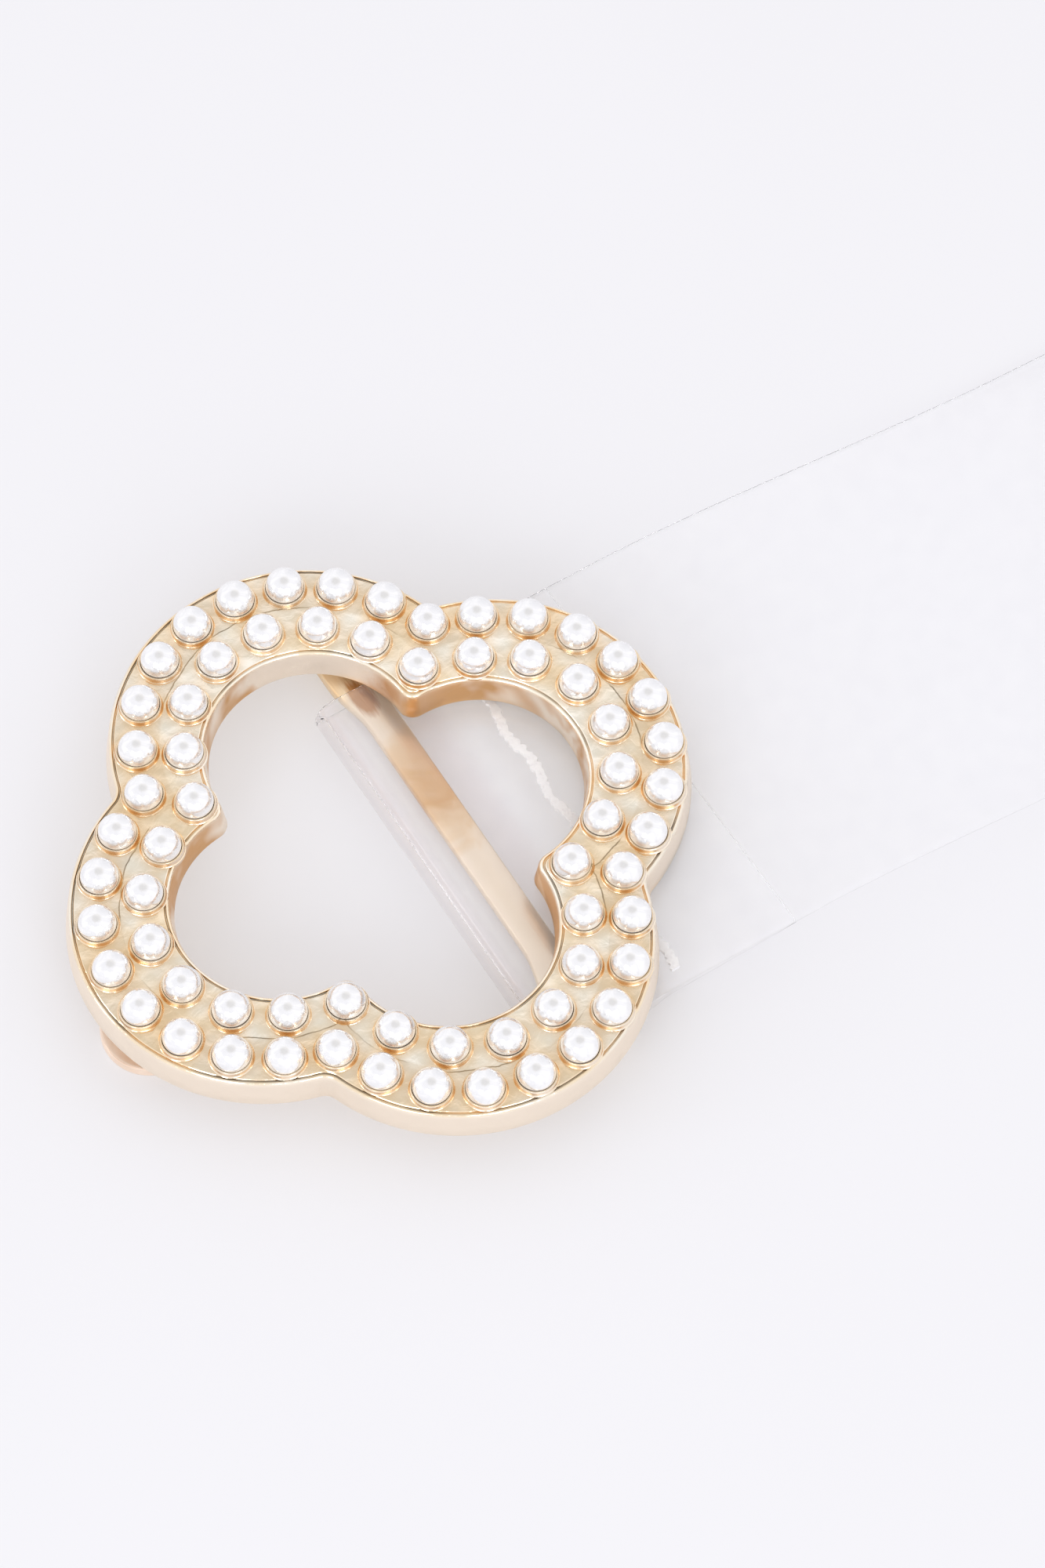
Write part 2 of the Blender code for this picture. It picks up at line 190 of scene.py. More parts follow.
def mottled(nodes, links, where, scale, dark, light, span, roughness=0.5, distortion=0.0):
    """The mottle group placed with one finish's own colours and cloud size."""
    values = {"Where": where, "Scale": scale, "Roughness": roughness, "Distortion": distortion,
              "Start": span[0], "End": span[1], "Dark": dark, "Light": light}
    return place_group(nodes, links, mottle, values)["Colour"]


table_material, nodes, links, shader = new_material("lit_acrylic", metallic=0.0, roughness=0.6)
where = nodes.new("ShaderNodeTexCoord").outputs["Object"]
duller_white = tuple(TABLE_DULLING * channel for channel in TABLE_WHITE)
acrylic = mottled(nodes, links, where, 14.0, duller_white, TABLE_WHITE, span=(0.3, 0.7))
links.new(acrylic, shader.inputs["Base Color"])
shader.inputs["Specular IOR Level"].default_value = 0.2
shader.inputs["Emission Color"].default_value = (*TABLE_GLOW, 1.0)
shader.inputs["Emission Strength"].default_value = 1.0

bm = bmesh.new()
bmesh.ops.create_grid(bm, x_segments=2, y_segments=2, size=TABLE_SIZE / 2)
bmesh.ops.translate(bm, verts=bm.verts, vec=(0.0, 0.0, -TABLE_DEPTH))
table = make_mesh_object("table", bm, table_material)

VIEW_AZIMUTH = math.radians(-34.84)
VIEW_ELEVATION = math.radians(61.93)
VIEW_ROLL = math.radians(0.06)
VIEW_DISTANCE = 524.1 * MM
VIEW_LENS = 144.25
VIEW_SENSOR = 36.0
VIEW_TARGET = Vector((36.28, -1.87, 7.7)) * MM


def direction(azimuth, elevation):
    """Unit vector towards an azimuth (0 is -Y, 90 degrees is +X) and an elevation."""
    flat = math.cos(elevation)
    return Vector((math.sin(azimuth) * flat, -math.cos(azimuth) * flat, math.sin(elevation)))


def aim(thing, place, target):
    """Stands a camera or lamp at a place, looking at a target."""
    thing.location = place
    thing.rotation_mode = 'QUATERNION'
    thing.rotation_quaternion = (target - place).to_track_quat('-Z', 'Y')


camera = bpy.data.objects.new("camera", bpy.data.cameras.new("camera"))
bpy.context.scene.collection.objects.link(camera)
aim(camera, VIEW_TARGET + direction(VIEW_AZIMUTH, VIEW_ELEVATION) * VIEW_DISTANCE, VIEW_TARGET)
roll = Matrix.Rotation(VIEW_ROLL, 3, 'Z').to_quaternion()
camera.rotation_quaternion = camera.rotation_quaternion @ roll
camera.data.lens = VIEW_LENS
camera.data.sensor_width = VIEW_SENSOR
camera.data.clip_start = 50.0 * MM
camera.data.clip_end = 10.0
bpy.context.scene.camera = camera
bpy.context.scene.view_settings.view_transform = 'Standard'

# White walls all round, with one duller panel overhead that leans towards the far side
ROOM_WHITE = (0.97, 0.965, 1.0)
ROOM_STRENGTH = 1.06
PANEL_GREY = (0.74, 0.72, 0.70)
PANEL_ELEVATION = math.radians(85)
world = bpy.data.worlds.new("room")
bpy.context.scene.world = world
world.use_nodes = True
nodes, links = world.node_tree.nodes, world.node_tree.links
towards_panel = nodes.new("ShaderNodeVectorMath")
towards_panel.operation = 'DOT_PRODUCT'
links.new(nodes.new("ShaderNodeTexCoord").outputs["Generated"], towards_panel.inputs[0])
towards_panel.inputs[1].default_value = direction(VIEW_AZIMUTH + math.pi, PANEL_ELEVATION)
room = ramp_node(nodes, links, towards_panel.outputs["Value"],
                 [(0.0, ROOM_WHITE), (0.85, ROOM_WHITE), (0.95, PANEL_GREY), (1.0, PANEL_GREY)])
links.new(room, nodes["Background"].inputs["Color"])
nodes["Background"].inputs["Strength"].default_value = ROOM_STRENGTH

# Each lamp: degrees round from the camera, degrees up, side in metres, watts
LAMPS = (
    (-25.0, 29.0, 0.42, 1.7),
    (21.0, 29.0, 0.42, 1.7),
    (-78.0, 16.0, 0.26, 0.7),
)
LAMP_DISTANCE = 1.1
for number, (turn, elevation, side, watts) in enumerate(LAMPS, start=1):
    lamp_data = bpy.data.lights.new(f"lamp_{number}", 'AREA')
    lamp_data.shape = 'SQUARE'
    lamp_data.size = side
    lamp_data.energy = watts
    lamp = bpy.data.objects.new(f"lamp_{number}", lamp_data)
    bpy.context.scene.collection.objects.link(lamp)
    away = direction(VIEW_AZIMUTH + math.radians(turn), math.radians(elevation))
    aim(lamp, VIEW_TARGET + away * LAMP_DISTANCE, VIEW_TARGET)


# ---- Buckle ring --------------------------------------------------------------------------------
# One die casting of zinc alloy, plated champagne gold: four lobes with a flat top plate, a soft
# shoulder round both edges and a low round cup under each pearl.  The walls are left satin.
ring_low, ring_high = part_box("buckle_ring")

LOBES = 4
LOBE_STEPS = 56
CORNER_STEPS = 10
OUTER_LOBE_OFFSET = 11.4 * MM
OUTER_LOBE_RADIUS = 16.0 * MM
OUTER_NOTCH_RADIUS = 2.0 * MM
INNER_LOBE_OFFSET = 10.0 * MM
INNER_LOBE_RADIUS = 9.55 * MM
INNER_CUSP_RADIUS = 1.0 * MM
RING_SHIFT_X = -0.3 * MM
RING_THICK = 3.0 * MM

ring_middle = Vector((
    (ring_low.x + ring_high.x) / 2.0 - RING_SHIFT_X,
    (ring_low.y + ring_high.y) / 2.0,
    0.0,
))
ring_bottom = ring_low.z
plate_z = ring_bottom + RING_THICK

# The two rows of pearls, and so of cups: each lobe's pearls, then the one in its corner
ROW_LOBE_OFFSET = 11.4 * MM
OUTER_ROW_RADIUS = 14.25 * MM
OUTER_ROW_PER_LOBE = 8
OUTER_ROW_PITCH = math.radians(17.6)
NOTCH_PEARL_OFFSET = 20.3 * MM
INNER_ROW_RADIUS = 10.35 * MM
INNER_ROW_PER_LOBE = 6
INNER_ROW_PITCH = math.radians(26.1)
CUSP_PEARL_OFFSET = 15.95 * MM


def on_circle(radius, angle, middle_x=0.0, middle_y=0.0):
    return Vector((middle_x + radius * math.cos(angle), middle_y + radius * math.sin(angle)))


def lobed_outline(offset, radius, corner):
    """Points of a four-lobed outline whose lobes meet in corners rounded to a radius."""
    half = offset / math.sqrt(2.0)
    corner_distance = half + math.sqrt((radius + corner) ** 2 - half ** 2)
    corner_middle = corner_distance / math.sqrt(2.0)
    lobe_half_angle = math.atan2(corner_middle, corner_middle - offset)
    corner_half_angle = lobe_half_angle - math.radians(45)
    points = []
    for lobe in range(LOBES):
        turn = Matrix.Rotation(lobe * math.tau / LOBES, 2)
        for step in range(LOBE_STEPS + 1):
            angle = lobe_half_angle * (2.0 * step / LOBE_STEPS - 1.0)
            points.append(turn @ on_circle(radius, angle, offset))
        for step in range(1, CORNER_STEPS + 1):
            share = 2.0 * step / (CORNER_STEPS + 1) - 1.0
            angle = math.radians(225) - share * corner_half_angle
            points.append(turn @ on_circle(corner, angle, corner_middle, corner_middle))
    return points


def row_places(offset, row_radius, per_lobe, pitch, corner_offset):
    """Plan places of one row of pearls, lobe by lobe, each lobe followed by its corner pearl."""
    lobes = []
    for lobe in range(LOBES):
        turn = Matrix.Rotation(lobe * math.tau / LOBES, 2)
        places = []
        for i in range(per_lobe):
            angle = (i - (per_lobe - 1) / 2.0) * pitch
            places.append(turn @ on_circle(row_radius, angle, offset))
        places.append(turn @ (Vector((1.0, 1.0)).normalized() * corner_offset))
        lobes.append(places)
    return lobes


outer_rows = row_places(ROW_LOBE_OFFSET, OUTER_ROW_RADIUS, OUTER_ROW_PER_LOBE, OUTER_ROW_PITCH,
                        NOTCH_PEARL_OFFSET)
inner_rows = row_places(ROW_LOBE_OFFSET, INNER_ROW_RADIUS, INNER_ROW_PER_LOBE, INNER_ROW_PITCH,
                        CUSP_PEARL_OFFSET)


def add_loop(bm, points, height):
    """A closed loop of corners and edges at a height, from plan points about the ring's middle."""
    loop = [bm.verts.new((ring_middle.x + p.x, ring_middle.y + p.y, height)) for p in points]
    for here, after in zip(loop, loop[1:] + loop[:1]):
        bm.edges.new((here, after))
    return loop


def bridge(bm, loop, after):
    """Faces between two closed loops with the same number of corners."""
    count = len(loop)
    for i in range(count):
        j = (i + 1) % count
        bm.faces.new((loop[i], loop[j], after[j], after[i]))


# Each step of the wall in millimetres: height above the ring's back, growth beyond the plate's edge
WALL_STEPS = (
    (0.0, 0.62), (0.08, 0.68), (0.2, 0.70), (1.3, 0.56), (2.2, 0.46), (2.55, 0.42), (2.78, 0.36),
    (2.92, 0.27), (2.98, 0.18), (2.985, 0.11), (2.93, 0.06), (2.86, 0.03), (2.86, -0.03),
    (2.95, -0.08), (3.0, -0.16),
)


def casting_body():
    """The ring without its cups: loops up the outer wall and shoulder, and the same inside."""
    bm = bmesh.new()
    shift = Vector((RING_SHIFT_X, 0.0))
    outer_loops = []
    inner_loops = []
    for height, growth in WALL_STEPS:
        z = ring_bottom + height * MM
        grow = growth * MM
        outer = lobed_outline(OUTER_LOBE_OFFSET, OUTER_LOBE_RADIUS + grow, OUTER_NOTCH_RADIUS - grow)
        inner = lobed_outline(INNER_LOBE_OFFSET, INNER_LOBE_RADIUS - grow,
                              INNER_CUSP_RADIUS + grow / 2.0)
        outer_loops.append(add_loop(bm, [p + shift for p in outer], z))
        inner_loops.append(add_loop(bm, [p + shift for p in inner], z))
    bridge(bm, inner_loops[0], outer_loops[0])
    bridge(bm, outer_loops[-1], inner_loops[-1])
    for loops in (outer_loops, inner_loops):
        for loop, after in zip(loops, loops[1:]):
            bridge(bm, loop, after)
    return bm


# Each step of a cup's section in millimetres: radius and height above the plate, root to lip.  The
# socket steps cut the hollow that each pearl sits in.
CUP_POINTS = 40
CUP_STEPS = (
    (1.98, -0.30), (1.96, -0.02), (1.90, 0.02), (1.85, 0.09), (1.82, 0.20), (1.81, 0.34),
    (1.79, 0.42), (1.75, 0.46), (1.60, 0.47),
)
SOCKET_STEPS = ((1.66, 0.60), (1.66, 0.46), (1.63, 0.40), (1.61, 0.30), (1.61, -0.90), (1.2, -1.0))


def turned_plugs(steps):
    """The same small turned solid standing at every pearl's place."""
    bm = bmesh.new()
    circle = [on_circle(1.0, math.tau * i / CUP_POINTS) for i in range(CUP_POINTS)]
    for place in [place for places in outer_rows + inner_rows for place in places]:
        loops = [add_loop(bm, [place + p * radius * MM for p in circle], plate_z + height * MM)
                 for radius, height in steps]
        for loop, after in zip(loops, loops[1:]):
            bridge(bm, loop, after)
        bm.faces.new(loops[0])
        bm.faces.new(loops[-1])
    return bm


def combine(body, tool, operation):
    """Applies one exact boolean to the body and clears the tool away."""
    boolean = body.modifiers.new(operation, 'BOOLEAN')
    boolean.operation = operation
    boolean.solver = 'EXACT'
    boolean.object = tool
    depsgraph = bpy.context.evaluated_depsgraph_get()
    solid = bpy.data.meshes.new_from_object(body.evaluated_get(depsgraph))
    body.modifiers.clear()
    body.data = solid
    bpy.data.objects.remove(tool, do_unlink=True)


def math_node(nodes, links, operation, *sources):
    node = nodes.new("ShaderNodeMath")
    node.operation = operation
    for source, socket in zip(sources, node.inputs):
        feed(links, source, socket)
    return node.outputs["Value"]


def vector_node(nodes, links, operation, *sources):
    """Vector maths; gives a vector, or a value where the answer is one number."""
    node = nodes.new("ShaderNodeVectorMath")
    node.operation = operation
    for source, socket in zip(sources, node.inputs):
        feed(links, source, socket)
    one_number = operation in ('DOT_PRODUCT', 'DISTANCE', 'LENGTH')
    return node.outputs["Value" if one_number else "Vector"]


def axis_node(nodes, links, vector, axis):
    """One axis, X, Y or Z, of a vector."""
    node = nodes.new("ShaderNodeSeparateXYZ")
    links.new(vector, node.inputs["Vector"])
    return node.outputs[axis]


CREASE_REACH = 1.2 * MM
CREASE_CLEAR = 0.97
CREASE_FULL = 0.40


def crease_shade_group():
    """Node group: painted shade, turning a metal's clean colour to its shade colour in corners and under
    overhangs.
    """
    takes = {"Clean": 'Color', "Crease": 'Color', "Amount": 'Float'}
    group, nodes, links, given, result = new_group("crease_shade", takes, {"Colour": 'Color'})
    value = given.outputs
    occlusion = nodes.new("ShaderNodeAmbientOcclusion")
    occlusion.samples = 8
    occlusion.inputs["Distance"].default_value = CREASE_REACH
    depth = range_node(nodes, links, occlusion.outputs["AO"], CREASE_CLEAR, CREASE_FULL)
    share = math_node(nodes, links, 'MULTIPLY', depth, value["Amount"])
    colour = mix_node(nodes, links, share, value["Clean"], value["Crease"])
    links.new(colour, result.inputs["Colour"])
    return group


crease_shade = crease_shade_group()


def grain_group():
    """Node group: fine relief from noise.  Gives the bumped normal and the height it came from."""
    takes = {"Where": 'Vector', "Scale": 'Float', "Detail": 'Float', "Roughness": 'Float',
             "Distortion": 'Float', "Strength": 'Float', "Distance": 'Float', "Below": 'Vector'}
    gives = {"Normal": 'Vector', "Height": 'Float'}
    group, nodes, links, given, result = new_group("grain", takes, gives)
    value = given.outputs
    relief = noise_node(nodes, links, value["Where"], value["Scale"], value["Detail"],
                        value["Roughness"], value["Distortion"])
    bump = nodes.new("ShaderNodeBump")
    links.new(relief, bump.inputs["Height"])
    links.new(value["Strength"], bump.inputs["Strength"])
    links.new(value["Distance"], bump.inputs["Distance"])
    links.new(value["Below"], bump.inputs["Normal"])
    links.new(bump.outputs["Normal"], result.inputs["Normal"])
    links.new(relief, result.inputs["Height"])
    return group


grain = grain_group()


def grained(nodes, links, where, scale, detail, strength, distance, roughness=0.5, distortion=0.0,
            below=None):
    """The grain group placed over an earlier grain's normal, or straight on the bare surface."""
    if below is None:
        below = nodes.new("ShaderNodeNewGeometry").outputs["Normal"]
    values = {"Where": where, "Scale": scale, "Detail": detail, "Roughness": roughness,
              "Distortion": distortion, "Strength": strength, "Distance": distance, "Below": below}
    return place_group(nodes, links, grain, values)

RING_CREAM = (1.0, 0.95, 0.83)
RING_TAN = (0.98, 0.84, 0.62)
RING_ROSE = (0.94, 0.83, 0.70)
RING_COPPER_SHADE = (0.70, 0.41, 0.19)
RING_CREASE_SHADE = (0.84, 0.55, 0.26)
RING_DARK_REFLECTION = (0.16, 0.12, 0.07)
RING_DULL = (0.93, 0.90, 0.87)
CREASE_AMOUNT = 0.85
BLACK = (0.0, 0.0, 0.0)
WHITE = (1.0, 1.0, 1.0)

ring_material, nodes, links, shader = new_material("champagne_plating", metallic=1.0, roughness=0.25)
where = nodes.new("ShaderNodeTexCoord").outputs["Object"]
cloudy_plate = mottled(nodes, links, where, 150.0, RING_TAN, RING_CREAM, span=(0.42, 0.56))
from_middle = vector_node(nodes, links, 'SUBTRACT', where, ring_middle)

# A painted reflection: a dark wavy line wanders between the two rows, in stretches, and the plate
# outside it is painted a little duller.  The four lobes are folded onto the first one, and the
# line lies round that lobe's middle.
REFLECTION_LINE_RADIUS = 12.35 * MM
REFLECTION_LINE_WANDER = 0.9 * MM
REFLECTION_LINE_HALF = 0.09 * MM
unsigned = vector_node(nodes, links, 'ABSOLUTE', from_middle)
side_x = axis_node(nodes, links, unsigned, "X")
side_y = axis_node(nodes, links, unsigned, "Y")
folded = nodes.new("ShaderNodeCombineXYZ")
links.new(math_node(nodes, links, 'MAXIMUM', side_x, side_y), folded.inputs["X"])
links.new(math_node(nodes, links, 'MINIMUM', side_x, side_y), folded.inputs["Y"])
first_lobe = (OUTER_LOBE_OFFSET, 0.0, 0.0)
lobe_reach = vector_node(nodes, links, 'DISTANCE', folded.outputs["Vector"], first_lobe)
line_wander_noise = noise_node(nodes, links, where, scale=240.0, detail=4.0, roughness=0.6)
wandering = math_node(nodes, links, 'MULTIPLY_ADD', line_wander_noise, REFLECTION_LINE_WANDER, lobe_reach)
reflection_line_middle = REFLECTION_LINE_RADIUS + REFLECTION_LINE_WANDER / 2.0
outside_reflection_line = range_node(nodes, links, wandering, reflection_line_middle - REFLECTION_LINE_HALF,
                          reflection_line_middle + REFLECTION_LINE_HALF)
dull_plate = mix_node(nodes, links, outside_reflection_line, cloudy_plate, RING_DULL, 'MULTIPLY')
reflection_line = ramp_node(nodes, links, outside_reflection_line, [(0.0, BLACK), (0.5, WHITE), (1.0, BLACK)])
reflection_stretches = ramp_node(nodes, links, noise_node(nodes, links, where, scale=130.0, detail=2.0),
                           [(0.49, BLACK), (0.56, WHITE)])
reflection_share = math_node(nodes, links, 'MULTIPLY', reflection_line, reflection_stretches)
plate_colour = mix_node(nodes, links, reflection_share, dull_plate, RING_DARK_REFLECTION)

# Painted shade: the inner wall, which faces the ring's middle, is painted coppery in patches
surface_way = nodes.new("ShaderNodeNewGeometry").outputs["Normal"]
outward = vector_node(nodes, links, 'NORMALIZE', from_middle)
outwardness = vector_node(nodes, links, 'DOT_PRODUCT', surface_way, outward)
inward_shade_mask = range_node(nodes, links, outwardness, -0.1, -0.7)
copper_patches = noise_node(nodes, links, where, scale=95.0, detail=3.0, roughness=0.6, distortion=0.5)
copper_patch_mask = range_node(nodes, links, copper_patches, 0.42, 0.54)
copper_shade_share = math_node(nodes, links, 'MULTIPLY', inward_shade_mask, copper_patch_mask)
wall_colour = mix_node(nodes, links, copper_shade_share, RING_ROSE, RING_COPPER_SHADE)
wall_mask = range_node(nodes, links, axis_node(nodes, links, surface_way, "Z"), 0.75, 0.35)
clean_colour = mix_node(nodes, links, wall_mask, plate_colour, wall_colour)

# Painted reflection: the groove inside the rim is painted dark along some stretches, for the dark it mirrors
GROOVE_CLEAR = 0.03 * MM
GROOVE_DARK = 0.07 * MM
height = axis_node(nodes, links, where, "Z")
in_groove = range_node(nodes, links, height, plate_z - GROOVE_CLEAR, plate_z - GROOVE_DARK)
groove_dark_stretches = noise_node(nodes, links, where, scale=110.0, detail=2.0)
groove_dark_mask = range_node(nodes, links, groove_dark_stretches, 0.46, 0.56)
groove_reflection_share = math_node(nodes, links, 'MULTIPLY', in_groove, groove_dark_mask)
painted_crease_colour = mix_node(nodes, links, groove_reflection_share, RING_CREASE_SHADE, RING_DARK_REFLECTION)
# Painted shade: corners, cup roots and overhangs of the ring turn towards the orange shade colour
creased = place_group(nodes, links, crease_shade,
                      {"Clean": clean_colour, "Crease": painted_crease_colour, "Amount": CREASE_AMOUNT})
links.new(creased["Colour"], shader.inputs["Base Color"])

# The plate is polished and the walls are satin; both show the soft, pimpled skin of a casting
PLATE_ROUGHNESS = 0.11
WALL_ROUGHNESS = 0.42
roughness = range_node(nodes, links, wall_mask, 0.0, 1.0, PLATE_ROUGHNESS, WALL_ROUGHNESS)
links.new(roughness, shader.inputs["Roughness"])
soft_waves = grained(nodes, links, where, scale=260.0, detail=2.0, strength=1.0,
                     distance=0.3 * MM)
orange_peel = grained(nodes, links, where, scale=1000.0, detail=2.0, strength=0.7,
                      distance=0.05 * MM, distortion=0.8, below=soft_waves["Normal"])
fine_grain = grained(nodes, links, where, scale=3500.0, detail=3.0, strength=0.3,
                     distance=0.02 * MM, roughness=0.6, below=orange_peel["Normal"])
links.new(fine_grain["Normal"], shader.inputs["Normal"])

ring = make_mesh_object("ring_casting", casting_body(), ring_material)
cup_plugs = make_mesh_object("cup_plugs", turned_plugs(CUP_STEPS), ring_material)
combine(ring, cup_plugs, 'UNION')
socket_plugs = make_mesh_object("socket_plugs", turned_plugs(SOCKET_STEPS), ring_material)
combine(ring, socket_plugs, 'DIFFERENCE')
ring.data.shade_smooth()
ring.data.set_sharp_from_angle(angle=math.radians(40))
# The top plate is dead flat, so its faces are shaded flat
LEVEL_NORMAL = 0.9999
LEVEL_HEIGHT = 0.01 * MM
for face in ring.data.polygons:
    level = face.normal.z > LEVEL_NORMAL and abs(face.center.z - plate_z) < LEVEL_HEIGHT
    face.use_smooth = not level
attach(ring, "buckle")
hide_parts("buckle_ring")


# ---- Pearls -------------------------------------------------------------------------------------
# Imitation pearls: moulded acrylic balls under a pearly lacquer, dropped into the cups on a spot
# of glue.  Each is turned a little differently, and a faint moulding line runs round its waist.
first_pearl_low, first_pearl_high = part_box("pearl_outer_01")
LACQUER_BUILD = 0.07 * MM
PEARL_LIFT = 0.6 * MM
PEARL_SEED = 7
PEARL_TILT = 0.12
PEARL_NUDGE = 0.02
GLUED_FLAT = -0.8
MOULDING_RISE = 0.004
MOULDING_SPREAD = 0.06
PEARL_LIGHT = (0.96, 0.955, 0.95)
PEARL_DIM = (0.83, 0.83, 0.84)
pearl_radius = (first_pearl_high.x - first_pearl_low.x) / 2.0 + LACQUER_BUILD
pearl_z = plate_z + PEARL_LIFT

pearl_material, nodes, links, shader = new_material("pearl_lacquer", metallic=0.6, roughness=0.13)
where = nodes.new("ShaderNodeTexCoord").outputs["Object"]
lacquer = mottled(nodes, links, where, 700.0, PEARL_DIM, PEARL_LIGHT, span=(0.36, 0.58),
                  distortion=1.2)
links.new(lacquer, shader.inputs["Base Color"])
crackle = grained(nodes, links, where, scale=1900.0, detail=2.0, strength=0.6,
                  distance=0.03 * MM, distortion=0.6)
fleck = grained(nodes, links, where, scale=4200.0, detail=2.0, strength=0.3,
                distance=0.008 * MM, roughness=0.6, below=crackle["Normal"])
links.new(fleck["Normal"], shader.inputs["Normal"])
shader.inputs["Coat Weight"].default_value = 1.0
shader.inputs["Coat Roughness"].default_value = 0.03
shader.inputs["Specular IOR Level"].default_value = 0.8
shader.inputs["Sheen Weight"].default_value = 0.15


def pearl_mesh():
    """A ball flattened where the glue holds it, with a slight moulding line round its waist."""
    bm = bmesh.new()
    bmesh.ops.create_uvsphere(bm, u_segments=40, v_segments=24, radius=pearl_radius)
    for vert in bm.verts:
        lift = vert.co.z / pearl_radius
        if lift < GLUED_FLAT:
            vert.co.z = GLUED_FLAT * pearl_radius
        vert.co *= 1.0 + MOULDING_RISE * math.exp(-(lift / MOULDING_SPREAD) ** 2)
    return bm


draw = random.Random(PEARL_SEED)


def either_way(amount):
    return draw.uniform(-amount, amount)


def set_pearl(name, place, node=None):
    """One pearl in its cup, tilted, spun and nudged a little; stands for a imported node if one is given."""
    pearl = make_mesh_object(name, pearl_mesh(), pearl_material, smooth_angle=40)
    tilt_x = Matrix.Rotation(either_way(PEARL_TILT), 4, 'X')
    tilt_y = Matrix.Rotation(either_way(PEARL_TILT), 4, 'Y')
    spin = Matrix.Rotation(draw.uniform(0.0, math.tau), 4, 'Z')
    pearl.data.transform(spin @ tilt_x @ tilt_y)
    nudge = Vector((either_way(PEARL_NUDGE), either_way(PEARL_NUDGE))) * MM
    plan = ring_middle.xy + place + nudge
    pearl.location = (plan.x, plan.y, pearl_z)
    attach(pearl, "buckle")
    if node is not None:
        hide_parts(node)


outer_places = [place for places in outer_rows for place in places]
for number, place in enumerate(outer_places, start=1):
    set_pearl(f"outer_pearl_{number:02d}", place, f"pearl_outer_{number:02d}")
inner_pearls = 0
for lobe, places in enumerate(inner_rows, start=1):
    for i, place in enumerate(places):
        inner_pearls += 1
        row_node = f"pearl_inner_row_{lobe}" if i == 0 else None
        set_pearl(f"inner_pearl_{inner_pearls:02d}", place, row_node)


# ---- Centre bar ---------------------------------------------------------------------------------
# A strip of brass bent like a staple and soldered to the ring's back by its two legs.  The strip
# is brushed along its length and widens into a tab at each end.
bar_low, bar_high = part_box("centre_bar")
bar_middle = (bar_low + bar_high) / 2.0
BAR_TURN = math.radians(-3.0)
BAR_WIDTH = 2.85 * MM
BAR_TAB_WIDTH = 4.6 * MM
BAR_TAB_START = 12.5 * MM
BAR_TAB_FULL = 17.5 * MM
BAR_HALF_SPAN = 23.6 * MM
BAR_THICK = 1.2 * MM
BAR_BEND = 0.9 * MM
BAR_EDGE = 0.15 * MM
BAR_GOLD = (0.90, 0.68, 0.42)
BAR_LIGHT = (0.97, 0.84, 0.65)
BAR_SHADE = (0.75, 0.43, 0.15)
BAR_BROWN = (0.60, 0.32, 0.14)

bar_material, nodes, links, shader = new_material("brushed_brass", metallic=1.0, roughness=0.38)
where = nodes.new("ShaderNodeTexCoord").outputs["Object"]
drawn_out = nodes.new("ShaderNodeMapping")
drawn_out.inputs["Scale"].default_value = (1.0, 0.06, 1.0)
links.new(where, drawn_out.inputs["Vector"])
brushing = grained(nodes, links, drawn_out.outputs["Vector"], scale=5200.0, detail=4.0,
                   strength=0.7, distance=0.03 * MM, roughness=0.6)
links.new(brushing["Normal"], shader.inputs["Normal"])

# Painted shade from the ring: a darker, more orange band is painted across the bar's far half
SHADE_WANDER = 0.22
along_bar = range_node(nodes, links, axis_node(nodes, links, where, "Y"),
                       bar_middle.y - BAR_HALF_SPAN, bar_middle.y + BAR_HALF_SPAN)
shade_noise = noise_node(nodes, links, where, scale=210.0, detail=3.0, roughness=0.6, distortion=0.6)
shade_band_place = math_node(nodes, links, 'MULTIPLY_ADD', shade_noise, SHADE_WANDER, along_bar)
bar_colour = ramp_node(nodes, links, shade_band_place,
                       [(0.0, BAR_LIGHT), (0.55, BAR_LIGHT), (0.61, BAR_GOLD), (0.68, BAR_SHADE),
                        (0.82, BAR_GOLD), (0.88, BAR_LIGHT), (0.93, BAR_LIGHT), (1.0, BAR_GOLD)])

# A ragged brown patch is painted on the bar's far half.  Its reach is measured in half-sizes of the patch.
BROWN_PATCH = Vector((-0.5, 15.0)) * MM
BROWN_PATCH_SIZE = Vector((1.0, 2.0)) * MM
PATCH_RAGGED = 0.8
PATCH_CLEAR = 1.55
PATCH_BROWN = 1.15
patch_middle = Matrix.Rotation(BAR_TURN, 2) @ BROWN_PATCH + bar_middle.xy
patch_space = nodes.new("ShaderNodeMapping")
patch_space.inputs["Scale"].default_value = (1.0 / BROWN_PATCH_SIZE.x, 1.0 / BROWN_PATCH_SIZE.y, 0.0)
patch_space.inputs["Location"].default_value = (
    -patch_middle.x / BROWN_PATCH_SIZE.x,
    -patch_middle.y / BROWN_PATCH_SIZE.y,
    0.0,
)
links.new(where, patch_space.inputs["Vector"])
patch_reach = vector_node(nodes, links, 'LENGTH', patch_space.outputs["Vector"])
ragged_reach = math_node(nodes, links, 'MULTIPLY_ADD', brushing["Height"], PATCH_RAGGED,
                         patch_reach)
brown_share = range_node(nodes, links, ragged_reach, PATCH_CLEAR, PATCH_BROWN)
browned = mix_node(nodes, links, brown_share, bar_colour, BAR_BROWN)
links.new(browned, shader.inputs["Base Color"])


def ease(share):
    """A smooth start and finish from 0 to 1, held there beyond."""
    share = min(max(share, 0.0), 1.0)
    return share * share * (3.0 - 2.0 * share)


def bar_half_width(y):
    """Half the strip's width at a distance along it, swelling smoothly into the end tabs."""
    swell = ease((abs(y) - BAR_TAB_START) / (BAR_TAB_FULL - BAR_TAB_START))
    return (BAR_WIDTH + (BAR_TAB_WIDTH - BAR_WIDTH) * swell) / 2.0


